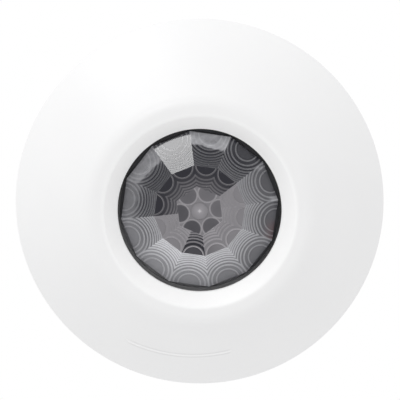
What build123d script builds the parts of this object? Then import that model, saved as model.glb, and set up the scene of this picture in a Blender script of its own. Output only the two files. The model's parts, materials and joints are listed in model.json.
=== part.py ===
from build123d import *
import math
import os

# Ceiling motion detector for flush mounting, in millimetres.
# The ceiling's lower face is the plane z = 0, its hole is round the origin, and the room is below, at -Z.
# Each piece is worked out from the driving sizes in this first part.

# Clearances shared by every piece
running_fit = 0.05
screw_fit = 0.04
seat_gap = 0.3
board_gap = 0.5

# Cover ring: outer slope, rounded crest and the funnel down to the lens
bezel_radius = 54.0
bezel_wall = 2.0
rim_height = 2.2
slope_bulge = 1.2
aperture_radius = 23.2
aperture_depth = 16.0
funnel_width = 6.2
funnel_angle = 45.0
crest_round = 4.4
rim_round = 0.6
aperture_round = 0.3
lip_gap = 0.3
lip_thickness = 1.0
lip_width = 1.0
guide_rib_width = 2.4
guide_rib_reach = 9.0
guide_rib_angles = (45, 135, 225, 315)
lip_side_gap = 0.2
seam_radius = 44.0
seam_width = 0.5
seam_rise = 0.2
seam_root = 0.4
seam_from = 77.0
seam_to = 119.0

# Lens: two rings of twelve facets round a hexagon of six
lens_radius = 22.5
lens_turn = 97.2
lens_recess = 1.9
middle_radius = 13.0
hexagon_radius = 7.0
outer_facet_slope = 18.0
middle_facet_slope = 5.2
centre_rise = 0.1
lens_wall = 0.9
edge_inset_share = 0.7
lens_flange_radius = 26.0
lens_flange_thickness = 1.0
outer_zone_radius = 3.25
middle_zone_radius = 3.03
middle_zone_shift = 0.68
petal_radius = 2.6
petal_shift = -0.5
centre_zone_radius = 2.4
groove_width = 0.16
groove_depth = 0.12
most_rings = 12

# Lens retainer
retainer_thickness = 0.8
retainer_rim = 2.4
retainer_ear_radius = 2.6
retainer_ear_angles = (10, 130, 250)

# Inner cover
inner_cover_depth = 11.0
plate_thickness = 1.8
skirt_wall = 1.8
cover_clearance = 0.6
sensor_window_radius = 20.5
post_radius = 2.8
post_overlap = 0.4
post_angles = (30, 150, 270)

# Housing: the flange under the ceiling, the pot above it and the tray between the pot's two spaces
flange_clearance = 2.5
flange_thickness = 2.5
pot_radius = 32.0
pot_wall = 1.8
pot_height = 38.0
wiring_height = 12.0
shelf_thickness = 2.0
gasket_inset = 0.7
gasket_width = 4.4
gasket_thickness = 1.0
fixing_edge = 5.0
fixing_hole_radius = 2.2
cable_hole_radius = 4.5
cable_hole_rise = 5.5
cable_boss_depth = 4.5
cable_boss_margin = 2.0
vent_width = 1.8
vent_low = 8.0
vent_drop = 4.0
vent_groups = (44, 136, 224, 316)
vent_spacing = 12
board_post_wall = 0.4
pilot_spare = 0.1

# Sensor board and what stands on it
board_thickness = 1.6
board_standoff = 0.6
board_screw_margin = 0.9
board_screw_angles = (90, 210, 330)
trimmer_size = 6.6
trimmer_height = 3.6
knob_radius = 3.6
knob_gap = 0.25
knob_shaft_radius = 1.4
knob_shaft_depth = 2.4
knob_rise = 1.1
knob_slot_width = 0.9
knob_slot_depth = 0.8
knob_slot_share = 1.5
knob_spread = 20.0
pyro_base_radius = 5.0
pyro_base_height = 1.0
pyro_flange_radius = 4.6
pyro_flange_height = 0.5
pyro_tab = 0.8
pyro_can_radius = 4.1
pyro_can_height = 4.2
pyro_window_width = 4.6
pyro_window_height = 3.4
pyro_window_thickness = 0.5
led_radius = 1.5
led_height = 5.0
led_rim = 0.3
led_rim_height = 1.0
led_circle = 16.0
led_angle = 15.0
light_sensor_radius = 2.5
light_sensor_height = 3.4
light_sensor_angle = 200.0
controller_size = (10.0, 6.0, 1.7)
controller_angle = 300
amplifier_size = (5.0, 6.0, 1.7)
amplifier_angle = 240
resistor_size = (2.0, 1.25, 0.6)
resistor_first_angle = 160
resistor_count = 6
resistor_spacing = 8
capacitor_size = (2.0, 1.25, 1.2)
capacitor_first_angle = 336
capacitor_count = 5
capacitor_spacing = 10

# Power board and what hangs under it
power_board_gap = 3.0
power_board_clearance = 0.6
power_post_margin = 3.4
power_post_angles = (90, 229, 311)
relay_size = (19.0, 15.2, 15.0)
relay_place = (-11.5, 10.5)
relay_round = 0.8
dropper_size = (17.0, 7.0, 13.5)
dropper_place = (10.8, 7.6)
dropper_round = 1.0
filter_radius = 5.0
filter_height = 12.5
filter_place = (7.5, 19.5)
supply_radius = 3.5
supply_height = 9.0
supply_place = (0.5, -14.0)
can_groove_span = (1.5, 2.2)
can_groove_share = 0.93
varistor_radius = 5.0
varistor_thickness = 4.0
varistor_place = (-13.5, -3.4)
varistor_lift = 1.0
bridge_size = (8.4, 6.4, 3.3)
bridge_place = (14.0, -2.5)
choke_radius = 4.2
choke_height = 9.0
choke_place = (11.0, -11.5)
choke_rim = 1.2
choke_waist_share = 0.86
fuse_radius = 2.2
fuse_length = 9.0
fuse_place = (-12.5, -12.0)
fuse_lift = 0.6
fuse_foot_inset = 3.0

# Pin header between the boards
pin_count = 5
pin_pitch = 2.54
pin_size = 0.64
header_width = 2.6
header_height = 2.6
header_inset = 6.1
pin_overrun = 1.0

# Terminal block and its clamps
pole_count = 3
pole_pitch = 7.5
block_depth = 12.0
block_height = 15.0
block_place = -5.0
block_end_wall = 1.2
cage_width = 5.0
cage_depth = 6.4
cage_height = 6.6
cage_clearance = 0.15
cage_rise = 0.8
cage_floor = 0.8
wire_hole_radius = 1.9
terminal_screw_radius = 1.5
terminal_head_radius = 2.1
terminal_head_height = 1.6
terminal_head_gap = 0.4
terminal_pin_radius = 0.6

# Lid of the terminal space
lid_thickness = 1.6
lid_gap = 0.3
lid_ridge = (12.0, 1.2, 1.0)
lid_ridge_inset = 4.0
hinge_inset = 5.4
hinge_offset = 2.4
hinge_pin_radius = 0.8
hinge_knuckle_radius = 1.6
lid_knuckle_width = 8.0
hinge_knuckle_width = 4.0

# Cable clamp
clamp_size = (22.0, 5.0, 2.4)
clamp_setback = 5.5
clamp_round = 1.5
clamp_post_height = 1.6
clamp_screw_pitch = 16.0
clamp_bite = 1.5

# Sprung ceiling clips
pocket_depth = 6.0
pocket_half_width = 7.0
pocket_wall = 1.6
pocket_roof = 1.8
clip_pin_height = 7.5
clip_pin_radius = 1.0
clip_barrel_radius = 2.2
clip_half_width = 6.4
clip_lobe_width = 2.0
clip_back_gap = 0.4
clip_length = 23.5
clip_thickness = 1.2
clip_foot = 2.2
clip_tip_width = 7.0
clip_tip_round = 1.6
clip_bead_radius = 0.8
coil_wire_radius = 0.4
coil_turns = 5
coil_gap = 0.45
coil_clearance = 0.35
coil_end_turn = 115.0
coil_inner_leg = 2.0
coil_outer_leg = 3.2

# Screws: head radius, head height and shank radius
retainer_screw = (1.7, 1.0, 0.8)
cover_screw = (2.2, 1.3, 1.0)
board_screw = (2.0, 1.2, 1.0)
power_screw = (2.3, 1.4, 1.1)
clamp_screw = (2.4, 1.6, 1.3)
thread_bite = 1.9
through_fit = 0.15
cross_length_share = 1.3
cross_width_share = 0.25

# Heights worked out from the sizes above
crest_corner_radius = aperture_radius + funnel_width
crest_corner_depth = aperture_depth + funnel_width * math.tan(math.radians(funnel_angle))
slope_run = bezel_radius - crest_corner_radius
slope_drop = crest_corner_depth - rim_height
slope_angle = math.atan2(slope_drop, slope_run)
plate_front = -inner_cover_depth
plate_back = plate_front + plate_thickness
lens_flange_front = plate_front - lens_flange_thickness
retainer_front = lens_flange_front - retainer_thickness
lens_edge = lens_recess - aperture_depth
flange_front = -flange_thickness
board_back = flange_front - board_standoff
board_front = board_back - board_thickness
shelf_top = pot_height - wiring_height
shelf_height = shelf_top - shelf_thickness
vent_high = shelf_height - vent_drop
cable_hole_height = shelf_top + cable_hole_rise
power_board_top = shelf_height - power_board_gap
power_board_bottom = power_board_top - board_thickness

# Radii worked out from the sizes above: the inner cover clears the straight line of the cover ring's slope
slope_radius_at_plate = bezel_radius - (inner_cover_depth - rim_height) / math.tan(slope_angle)
inner_cover_radius = slope_radius_at_plate - bezel_wall / math.sin(slope_angle) - cover_clearance
skirt_inner_radius = inner_cover_radius - skirt_wall
board_radius = skirt_inner_radius - board_gap
retainer_radius = lens_flange_radius + seat_gap + retainer_rim
retainer_ear_circle = retainer_radius + retainer_ear_radius / 2
knob_circle = (retainer_radius + skirt_inner_radius) / 2
post_circle = skirt_inner_radius - post_radius + post_overlap
board_screw_circle = board_radius - board_screw[0] - board_screw_margin
flange_radius = bezel_radius - bezel_wall - flange_clearance
fixing_radius = flange_radius - fixing_edge
gasket_inner_radius = post_circle + cover_screw[2] + gasket_inset
pot_inner_radius = pot_radius - pot_wall
power_board_radius = pot_inner_radius - power_board_clearance
power_post_circle = power_board_radius - power_post_margin
header_place = (0.0, header_inset - power_board_radius)
pocket_floor = pot_radius - pocket_depth
pocket_block_face = pocket_floor - pocket_wall
clip_pin_x = pocket_floor + clip_barrel_radius + clip_back_gap
knob_angles = (90 - knob_spread, 90 + knob_spread)
chip_circle = (sensor_window_radius + skirt_wall + skirt_inner_radius) / 2

# Places of the sensor board's parts and screws
cover_screw_seat = plate_front + cover_screw[1]
pyro_seat = board_front - pyro_base_height
pyro_front = pyro_seat - pyro_can_height
trimmer_front = board_front - trimmer_height
knob_front = plate_front - knob_rise
knob_back = trimmer_front - seat_gap

# Places of the clip pocket, the cable clamp and the lid's hinge
pocket_bottom = clip_pin_height - clip_barrel_radius - seat_gap
coil_radius = clip_pin_radius + coil_clearance + coil_wire_radius
coil_pitch = 2 * coil_wire_radius + coil_gap
clamp_bottom = shelf_top + clamp_post_height
clamp_top = clamp_bottom + clamp_size[2]
clamp_place = pot_radius - cable_boss_depth - clamp_setback
hinge_setback = pot_radius - hinge_inset
hinge_y = -hinge_setback - hinge_offset
hinge_z = pot_height + hinge_knuckle_radius + lid_gap
hinge_half = lid_knuckle_width / 2 + lid_gap + hinge_knuckle_width

# Places of the terminal block and its cages
block_half_width = pole_pitch * pole_count / 2 + block_end_wall
block_front = block_place + block_depth / 2
block_back = block_place - block_depth / 2
block_top = power_board_top + block_height
cage_low = shelf_top + cage_rise
cage_top = cage_low + cage_height
terminal_seat = cage_top + terminal_head_gap


def disc(radius, low, high):
    return Pos(0, 0, low) * Cylinder(radius, high - low, align=(Align.CENTER, Align.CENTER, Align.MIN))


def ring(outer, inner, low, high):
    return disc(outer, low, high) - disc(inner, low - 1, high + 1)


def block(x_span, y_span, z_span):
    spans = (x_span, y_span, z_span)
    centre = [(low + high) / 2 for low, high in spans]
    return Pos(*centre) * Box(*[high - low for low, high in spans])


def centred(middle, size):
    return (middle - size / 2, middle + size / 2)


def round_place(radius, angle):
    return Pos(radius * math.cos(math.radians(angle)), radius * math.sin(math.radians(angle)), 0)


def rod_along_y(radius, x, z, y_low, y_high):
    return Pos(x, (y_low + y_high) / 2, z) * Rot(90, 0, 0) * Cylinder(radius, y_high - y_low)


def rod_along_x(radius, y, z, x_low, x_high):
    return Pos((x_low + x_high) / 2, y, z) * Rot(0, 90, 0) * Cylinder(radius, x_high - x_low)


def make_screw(size, seat, tip):
    """A cross-head screw: its head's underside is at the height seat and its shank ends at the height tip."""
    head_radius, head_height, shank_radius = size
    way = 1 if tip > seat else -1
    head_end = seat - way * head_height
    head = disc(head_radius, min(seat, head_end), max(seat, head_end))
    shank = disc(shank_radius, min(seat, tip), max(seat, tip))
    slot_span = sorted((head_end + way * head_height / 2, head_end - way))
    slot = block(centred(0, head_radius * cross_length_share), centred(0, head_radius * cross_width_share),
                 slot_span)
    return head + shank - slot - Rot(0, 0, 90) * slot


def solids_of(shapes):
    """Several separate solids as one node."""
    return Compound(children=[solid for shape in shapes for solid in shape.solids()])


# Cover ring

def cover_section(top):
    """Half section of the ring's outer form, from the aperture's wall to the rim, closed at top."""
    aperture_edge = (aperture_radius, -aperture_depth)
    crest_corner = (crest_corner_radius, -crest_corner_depth)
    rim_edge = (bezel_radius, -rim_height)
    middle = (
        (crest_corner[0] + rim_edge[0]) / 2 + slope_bulge * math.sin(slope_angle),
        (crest_corner[1] + rim_edge[1]) / 2 - slope_bulge * math.cos(slope_angle),
    )
    outline = Curve() + [
        Line((aperture_radius, top), aperture_edge),
        Line(aperture_edge, crest_corner),
        ThreePointArc(crest_corner, middle, rim_edge),
        Line(rim_edge, (bezel_radius, top)),
        Line((bezel_radius, top), (aperture_radius, top)),
    ]
    section = make_face(outline)
    rounds = ((crest_corner, crest_round), (rim_edge, rim_round), (aperture_edge, aperture_round))
    for corner, radius in rounds:
        section = fillet(section.vertices().sort_by_distance(Vector(*corner))[0], radius)
    return section


def turned(section):
    return revolve(Plane.XZ * section, Axis.Z)


def make_cover_ring():
    outer = turned(cover_section(0))
    inner_section = offset(cover_section(bezel_wall + 1), -bezel_wall, kind=Kind.INTERSECTION)
    shell = outer - turned(inner_section)
    collar_top = retainer_front - lip_gap
    shell -= disc(aperture_radius + bezel_wall + lip_side_gap, collar_top, 1)
    shell -= disc(aperture_radius + lip_width, lip_thickness - aperture_depth, 1)
    rib_inside = inner_cover_radius + running_fit
    for angle in guide_rib_angles:
        rib_span = (-guide_rib_reach, flange_front - 1)
        rib_box = block((0, bezel_radius), centred(0, guide_rib_width), rib_span)
        rib = Rot(0, 0, angle) * rib_box & outer
        shell += rib - disc(rib_inside, -bezel_radius, 1)
    return shell + seam_line()


def seam_line():
    """A fine raised line along part of the outer slope, rooted in the wall."""
    chord = slope_run / math.cos(slope_angle)
    arc_radius = (chord ** 2 / 4 + slope_bulge ** 2) / (2 * slope_bulge)
    middle = Vector((crest_corner_radius + bezel_radius) / 2, -(crest_corner_depth + rim_height) / 2)
    away = arc_radius - slope_bulge
    centre_x = middle.X - away * math.sin(slope_angle)
    centre_y = middle.Y + away * math.cos(slope_angle)
    depth = centre_y - math.sqrt(arc_radius ** 2 - (seam_radius - centre_x) ** 2)
    tilt = math.degrees(math.asin((seam_radius - centre_x) / arc_radius))
    bar = Pos(0, (seam_root - seam_rise) / 2) * Rectangle(seam_width, seam_root + seam_rise)
    section = Pos(seam_radius, depth) * Rot(0, 0, tilt) * bar
    swept = revolve(Plane.XZ * section, Axis.Z, revolution_arc=seam_to - seam_from)
    return Rot(0, 0, seam_from) * swept


# Lens

def lens_levels(inset):
    """Radius and height of each corner ring of the lens form, moved in by inset."""
    outer_run = (lens_radius - middle_radius) * math.cos(math.radians(15))
    middle_run = middle_radius * math.cos(math.radians(15)) - hexagon_radius * math.cos(math.radians(30))
    middle_height = lens_edge - outer_run * math.tan(math.radians(outer_facet_slope))
    hexagon_height = middle_height - middle_run * math.tan(math.radians(middle_facet_slope))
    centre_height = hexagon_height - centre_rise
    edge_height = lens_edge + inset * edge_inset_share
    return edge_height, middle_height + inset, hexagon_height + inset, centre_height + inset


def lens_corner(radius, turn, height):
    angle = math.radians(turn - lens_turn)
    return Vector(radius * math.cos(angle), radius * math.sin(angle), height)


def lens_form(inset, top):
    """The closed faceted form of the lens, with straight sides up to the height top."""
    edge_height, middle_height, hexagon_height, centre_height = lens_levels(inset)
    edge = [lens_corner(lens_radius - inset, 30 * k, edge_height) for k in range(12)]
    rim = [lens_corner(lens_radius - inset, 30 * k, top) for k in range(12)]
    middle = [lens_corner(middle_radius, 30 * k, middle_height) for k in range(12)]
    half_side = hexagon_radius * math.cos(math.radians(30))
    hexagon = [lens_corner(half_side if k % 2 else hexagon_radius, 30 * k, hexagon_height) for k in range(12)]
    centre = Vector(0, 0, centre_height)
    outlines = [rim]
    for k in range(12):
        n = (k + 1) % 12
        outlines.append([rim[k], rim[n], edge[n], edge[k]])
        outlines.append([edge[k], edge[n], middle[n], middle[k]])
        outlines.append([middle[k], middle[n], hexagon[n if k % 2 == 0 else k]])
        far = middle[k] if k % 2 == 0 else middle[n]
        outlines.append([far, hexagon[n], hexagon[k]])
    for k in range(0, 12, 2):
        outlines.append([hexagon[k], hexagon[k + 1], hexagon[(k + 2) % 12], centre])
    return Solid(Shell([Face(Wire.make_polygon(outline)) for outline in outlines]))


def facet_grooves(corners, zone_radius, shift, ring_limit):
    """Ring lines of one facet, round a point shift outside its outer side's middle, cut off at its borders."""
    left, right = corners[0], corners[1]
    origin = (left + right) / 2
    across = (right - left).normalized()
    normal = across.cross(corners[2] - origin).normalized()
    if normal.Z > 0:
        normal = normal * -1
    plane = Plane(origin=origin, x_dir=across, z_dir=normal)
    flat = [plane.to_local_coords(corner) for corner in corners]
    border = make_face(Polyline([(p.X, p.Y) for p in flat], close=True))
    centre_y = -math.copysign(1, flat[2].Y) * shift
    reach = max(math.hypot(p.X, p.Y - centre_y) for p in flat)
    count = min(ring_limit, int((reach / zone_radius) ** 2))
    lines = Sketch()
    for n in range(1, count + 1):
        radius = zone_radius * math.sqrt(n)
        lines += Circle(radius + groove_width / 2) - Circle(radius - groove_width / 2)
    lines = Pos(0, centre_y) * lines & offset(border, -groove_width, kind=Kind.INTERSECTION)
    return plane * extrude(lines, groove_depth, both=True)


def make_lens():
    edge_height, middle_height, hexagon_height, centre_height = lens_levels(0)
    lens = lens_form(0, lens_flange_front)
    lens += ring(lens_flange_radius, sensor_window_radius, lens_flange_front, plate_front)
    lens -= lens_form(lens_wall, plate_front + 1)
    half_side = hexagon_radius * math.cos(math.radians(30))
    edge = [lens_corner(lens_radius, 30 * k, edge_height) for k in range(3)]
    middle = [lens_corner(middle_radius, 30 * k, middle_height) for k in range(3)]
    hexagon = [lens_corner((hexagon_radius, half_side)[k % 2], 30 * k, hexagon_height) for k in range(3)]
    outer = facet_grooves([edge[0], edge[1], middle[1], middle[0]], outer_zone_radius, 0, most_rings)
    inner_corners = (
        [middle[0], middle[1], hexagon[1], hexagon[0]],
        [middle[1], middle[2], hexagon[2], hexagon[1]],
    )
    inner_pair = [
        facet_grooves(corners, middle_zone_radius, middle_zone_shift, most_rings)
        for corners in inner_corners
    ]
    petal_corners = [hexagon[0], hexagon[2], Vector(0, 0, centre_height)]
    petal = facet_grooves(petal_corners, petal_radius, petal_shift, 1)
    cuts = [Rot(0, 0, 30 * k) * outer for k in range(12)]
    cuts += [Rot(0, 0, 60 * k) * grooves for k in range(6) for grooves in inner_pair + [petal]]
    half_line = groove_width / 2
    centre_line = ring(centre_zone_radius + half_line, centre_zone_radius - half_line,
                       centre_height - 1, hexagon_height + groove_depth / 2)
    return lens - cuts - centre_line


def make_lens_retainer():
    retainer = ring(retainer_radius, lens_radius + seat_gap, retainer_front, plate_front)
    screw_radius = retainer_screw[2]
    for angle in retainer_ear_angles:
        ear = disc(retainer_ear_radius, retainer_front, plate_front)
        retainer += round_place(retainer_ear_circle, angle) * ear
    retainer -= disc(lens_flange_radius + seat_gap, lens_flange_front, plate_front + 1)
    for angle in retainer_ear_angles:
        hole = disc(screw_radius + through_fit, retainer_front - 1, plate_front + 1)
        retainer -= round_place(retainer_ear_circle, angle) * hole
    return retainer


def make_retainer_screws():
    screw = make_screw(retainer_screw, retainer_front, plate_back - screw_fit)
    return solids_of([round_place(retainer_ear_circle, angle) * screw for angle in retainer_ear_angles])


# Inner cover, which carries the lens and closes the sensor board in

def make_inner_cover():
    cover = ring(inner_cover_radius, sensor_window_radius, plate_front, plate_back)
    cover += ring(inner_cover_radius, skirt_inner_radius, plate_back, flange_front)
    cover += ring(sensor_window_radius + skirt_wall, sensor_window_radius, plate_back, board_front - seat_gap)
    for angle in post_angles:
        place = round_place(post_circle, angle)
        cover += place * disc(post_radius, plate_back, flange_front)
        cover -= place * disc(cover_screw[2] + through_fit, plate_front, flange_front + 1)
        cover -= place * disc(cover_screw[0] + through_fit, plate_front - 1, cover_screw_seat)
    for angle in retainer_ear_angles:
        hole = disc(retainer_screw[2] + screw_fit, plate_front - 1, plate_back + 1)
        cover -= round_place(retainer_ear_circle, angle) * hole
    for angle in knob_angles:
        hole = disc(knob_radius + knob_gap, plate_front - 1, plate_back + 1)
        cover -= round_place(knob_circle, angle) * hole
    return cover


def make_inner_cover_screws():
    screw = make_screw(cover_screw, cover_screw_seat, flange_front + thread_bite)
    return solids_of([round_place(post_circle, angle) * screw for angle in post_angles])


# Sensor board

def make_sensor_board():
    board = disc(board_radius, board_front, board_back)
    for angle in post_angles:
        hole = disc(post_radius + board_gap, board_front - 1, board_back + 1)
        board -= round_place(post_circle, angle) * hole
    for angle in board_screw_angles:
        hole = disc(board_screw[2] + through_fit, board_front - 1, board_back + 1)
        board -= round_place(board_screw_circle, angle) * hole
    return board - pin_holes(board_front - 1, board_back + 1)


def make_sensor_board_screws():
    screw = make_screw(board_screw, board_front, flange_front + thread_bite)
    return solids_of([round_place(board_screw_circle, angle) * screw for angle in board_screw_angles])


def make_pyro_base():
    return disc(pyro_base_radius, board_front - pyro_base_height, board_front)


def pyro_window_space(low):
    high = pyro_front + pyro_window_thickness
    return block(centred(0, pyro_window_width), centred(0, pyro_window_height), (low, high))


def make_pyro_can():
    flange = (pyro_seat - pyro_flange_height, pyro_seat)
    can = disc(pyro_can_radius, pyro_front, pyro_seat) + disc(pyro_flange_radius, *flange)
    tab = block((0, pyro_flange_radius + pyro_tab), centred(0, pyro_tab), flange)
    return can + Rot(0, 0, 45) * tab - pyro_window_space(pyro_front - 1)


def make_pyro_window():
    return pyro_window_space(pyro_front)


def domed_part(radius, height):
    """A round-nosed cylinder standing on the sensor board's front."""
    shoulder = board_front - height + radius
    nose = Pos(0, 0, shoulder) * Sphere(radius)
    rim = disc(radius + led_rim, board_front - led_rim_height, board_front)
    return nose + disc(radius, shoulder, board_front) + rim


def make_indicator_led():
    return round_place(led_circle, led_angle) * domed_part(led_radius, led_height)


def make_light_sensor():
    body = disc(light_sensor_radius, board_front - light_sensor_height, board_front)
    return round_place(led_circle, light_sensor_angle) * body


def chip(size, angle):
    length, width, height = size
    body = block(centred(0, length), centred(0, width), (board_front - height, board_front))
    return round_place(chip_circle, angle) * Rot(0, 0, angle + 90) * body


def make_chips(size, first_angle, count, spacing):
    return solids_of([chip(size, first_angle + spacing * k) for k in range(count)])


def make_trimmer(angle):
    half = trimmer_size / 2
    body = block((-half, half), (-half, half), (trimmer_front, board_front))
    body -= disc(knob_shaft_radius + running_fit, trimmer_front - 1, trimmer_front + knob_shaft_depth)
    return round_place(knob_circle, angle) * Rot(0, 0, angle) * body


def make_knob(angle):
    knob = disc(knob_radius, knob_front, knob_back)
    knob += disc(knob_shaft_radius, knob_back, trimmer_front + knob_shaft_depth - seat_gap)
    cut = (knob_front - 1, knob_front + knob_slot_depth)
    slot = block(centred(0, knob_radius * knob_slot_share), centred(0, knob_slot_width), cut)
    pointer = Pos(knob_radius, 0, 0) * disc(knob_slot_width / 2, *cut)
    return round_place(knob_circle, angle) * Rot(0, 0, angle) * (knob - slot - pointer)


# Housing: pot, mounting flange and wiring tray

def power_post_places():
    turns = [math.radians(angle) for angle in power_post_angles]
    return [(power_post_circle * math.cos(turn), power_post_circle * math.sin(turn)) for turn in turns]


def vent_angles():
    return [middle + vent_spacing * k for middle in vent_groups for k in (-1, 0, 1)]


def pocket_blocks():
    """The two walls-and-floor blocks that hold the clip pockets inside the pot."""
    half = pocket_half_width + pocket_wall
    low = pocket_bottom - pocket_wall
    right = block((pocket_block_face, pot_radius), (-half, half), (low, pot_height))
    return right + mirror(right, Plane.YZ)


def make_housing():
    """The pot: a tube through the flange, with pockets for the clips and a boss for the cable."""
    inside = disc(pot_inner_radius, flange_front - 1, pot_height + 1) - pocket_blocks()
    land = (pot_height - lid_thickness, pot_height + 2)
    inside -= block(centred(0, 2 * pot_radius), (-pot_radius, -hinge_setback), land)
    boss_half = cable_hole_radius + cable_boss_margin
    boss_face = pot_radius - cable_boss_depth
    inside -= block((-boss_half, boss_half), (boss_face, pot_radius), (shelf_top, pot_height))
    housing = disc(pot_radius, flange_front, pot_height) - inside
    housing -= clip_pockets()
    housing -= rod_along_y(cable_hole_radius, 0, cable_hole_height, boss_face - 1, pot_radius + 1)
    for angle in vent_angles():
        vent = block((pot_inner_radius - 1, pot_radius + 1), centred(0, vent_width), (vent_low, vent_high))
        housing -= Rot(0, 0, angle) * vent
    return housing + hinge_knuckles() - hinge_bore()


def clip_pockets():
    pocket = block((pocket_floor, pot_radius + 1), (-pocket_half_width, pocket_half_width),
                   (pocket_bottom, pot_height - pocket_roof))
    half = pocket_half_width + pocket_wall
    bore = rod_along_y(clip_pin_radius + screw_fit, clip_pin_x, clip_pin_height, -half - 1, half + 1)
    right = pocket + bore
    return right + mirror(right, Plane.YZ)


def make_mounting_flange():
    flange = ring(flange_radius, pot_radius, flange_front, 0)
    flange -= ring(gasket_inner_radius + gasket_width + through_fit, gasket_inner_radius - through_fit,
                   -gasket_thickness, 1)
    for way in (-1, 1):
        flange -= Pos(0, way * fixing_radius, 0) * disc(fixing_hole_radius, flange_front - 1, 1)
    pilot = flange_front + thread_bite + pilot_spare
    for angle in board_screw_angles:
        place = round_place(board_screw_circle, angle)
        flange += place * disc(board_screw[0] + board_post_wall, board_back, flange_front)
        flange -= place * disc(board_screw[2] + screw_fit, board_back - 1, pilot)
    for angle in post_angles:
        flange -= round_place(post_circle, angle) * disc(cover_screw[2] + screw_fit, flange_front - 1, pilot)
    return flange


def make_wiring_tray():
    """The floor under the terminals, with posts for the power board below and the cable clamp above."""
    tray = disc(pot_inner_radius, shelf_height, shelf_top) - pocket_blocks() - block_cutout()
    for x, y in power_post_places():
        tray += Pos(x, y, 0) * disc(power_screw[0], power_board_top, shelf_height)
        tray -= Pos(x, y, 0) * disc(power_screw[2] + screw_fit, power_board_top - 1, shelf_height)
    for way in (-1, 1):
        place = Pos(way * clamp_screw_pitch / 2, clamp_place, 0)
        tray += place * disc(clamp_screw[0], shelf_top, clamp_bottom)
        tray -= place * disc(clamp_screw[2] + screw_fit, shelf_top - clamp_bite, clamp_bottom + 1)
    return tray


def hinge_knuckles():
    inner_end = lid_knuckle_width / 2 + lid_gap
    knuckle = rod_along_x(hinge_knuckle_radius, hinge_y, hinge_z, inner_end, hinge_half)
    foot_span = centred(hinge_y, 2 * hinge_knuckle_radius)
    knuckle += block((inner_end, hinge_half), foot_span, (pot_height, hinge_z))
    return knuckle + mirror(knuckle, Plane.YZ)


def hinge_bore():
    return rod_along_x(hinge_pin_radius + running_fit, hinge_y, hinge_z, -hinge_half - 1, hinge_half + 1)


def make_gasket():
    return ring(gasket_inner_radius + gasket_width, gasket_inner_radius, -gasket_thickness, 0)


# Lid over the terminals

def make_terminal_cover():
    lid = disc(pot_radius, pot_height, pot_height + lid_thickness)
    cut = (pot_height - 1, pot_height + lid_thickness + 1)
    lid -= block(centred(0, 2 * pot_radius), (-pot_radius - 1, -hinge_setback), cut)
    half = lid_knuckle_width / 2
    lid += rod_along_x(hinge_knuckle_radius, hinge_y, hinge_z, -half, half)
    tongue = (pot_height + lid_gap, pot_height + lid_thickness)
    lid += block((-half, half), (hinge_y, -hinge_setback + 1), tongue)
    length, width, rise = lid_ridge
    lid_top = pot_height + lid_thickness
    lid += block(centred(0, length), centred(pot_radius - lid_ridge_inset, width), (lid_top, lid_top + rise))
    return lid - hinge_bore()


def make_hinge_pin():
    return rod_along_x(hinge_pin_radius, hinge_y, hinge_z, -hinge_half, hinge_half)


# Power board and its parts

def make_power_board():
    board = disc(power_board_radius, power_board_bottom, power_board_top)
    flat = pocket_block_face - board_gap
    board &= block((-flat, flat), centred(0, 2 * pot_radius), (power_board_bottom, power_board_top))
    for x, y in power_post_places():
        hole = disc(power_screw[2] + through_fit, power_board_bottom - 1, power_board_top + 1)
        board -= Pos(x, y, 0) * hole
    for x in pole_places():
        hole = disc(terminal_pin_radius + screw_fit, power_board_bottom - 1, power_board_top + 1)
        board -= Pos(x, block_place, 0) * hole
    return board - pin_holes(power_board_bottom - 1, power_board_top + 1)


def make_power_board_screws():
    screw = make_screw(power_screw, power_board_bottom, shelf_height - seat_gap)
    return solids_of([Pos(x, y, 0) * screw for x, y in power_post_places()])


def hanging_box(place, size):
    return block(centred(place[0], size[0]), centred(place[1], size[1]),
                 (power_board_bottom - size[2], power_board_bottom))


def make_relay():
    relay = hanging_box(relay_place, relay_size)
    return fillet(relay.edges().filter_by(Axis.Z), relay_round)


def make_dropper_capacitor():
    body = hanging_box(dropper_place, dropper_size)
    return fillet(body.edges().filter_by(Axis.Z), dropper_round)


def hanging_can(place, radius, height):
    """An upright capacitor can with the pinched groove near its board end."""
    can = disc(radius, power_board_bottom - height, power_board_bottom)
    near, far = can_groove_span
    groove = ring(radius + 1, radius * can_groove_share, power_board_bottom - far, power_board_bottom - near)
    return Pos(*place, 0) * (can - groove)


def make_varistor():
    """A flat disc standing on edge, with its foot on the board."""
    x, y = varistor_place
    half = varistor_thickness / 2
    middle = power_board_bottom - varistor_radius - varistor_lift
    body = rod_along_y(varistor_radius, x, middle, y - half, y + half)
    return body + block(centred(x, varistor_radius), (y - half, y + half), (middle, power_board_bottom))


def make_choke():
    drum = disc(choke_radius, power_board_bottom - choke_height, power_board_bottom)
    waist = ring(choke_radius + 1, choke_radius * choke_waist_share,
                 power_board_bottom - choke_height + choke_rim, power_board_bottom - choke_rim)
    return Pos(*choke_place, 0) * (drum - waist)


def make_fuse_resistor():
    x, y = fuse_place
    middle = power_board_bottom - fuse_radius - fuse_lift
    body = rod_along_x(fuse_radius, y, middle, x - fuse_length / 2, x + fuse_length / 2)
    foot_length = centred(x, fuse_length - fuse_foot_inset)
    foot = block(foot_length, centred(y, fuse_radius), (middle, power_board_bottom))
    return body + foot


# Header and pins between the boards

def pin_places():
    first = header_place[0] - pin_pitch * (pin_count - 1) / 2
    return [(first + pin_pitch * k, header_place[1]) for k in range(pin_count)]


def pin_holes(low, high):
    radius = pin_size / math.sqrt(2) + screw_fit
    return [Pos(x, y, 0) * disc(radius, low, high) for x, y in pin_places()]


def make_link_pins():
    low, high = board_front - pin_overrun, power_board_top + pin_overrun
    pin = block(centred(0, pin_size), centred(0, pin_size), (low, high))
    return solids_of([Pos(x, y, 0) * pin for x, y in pin_places()])


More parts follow.
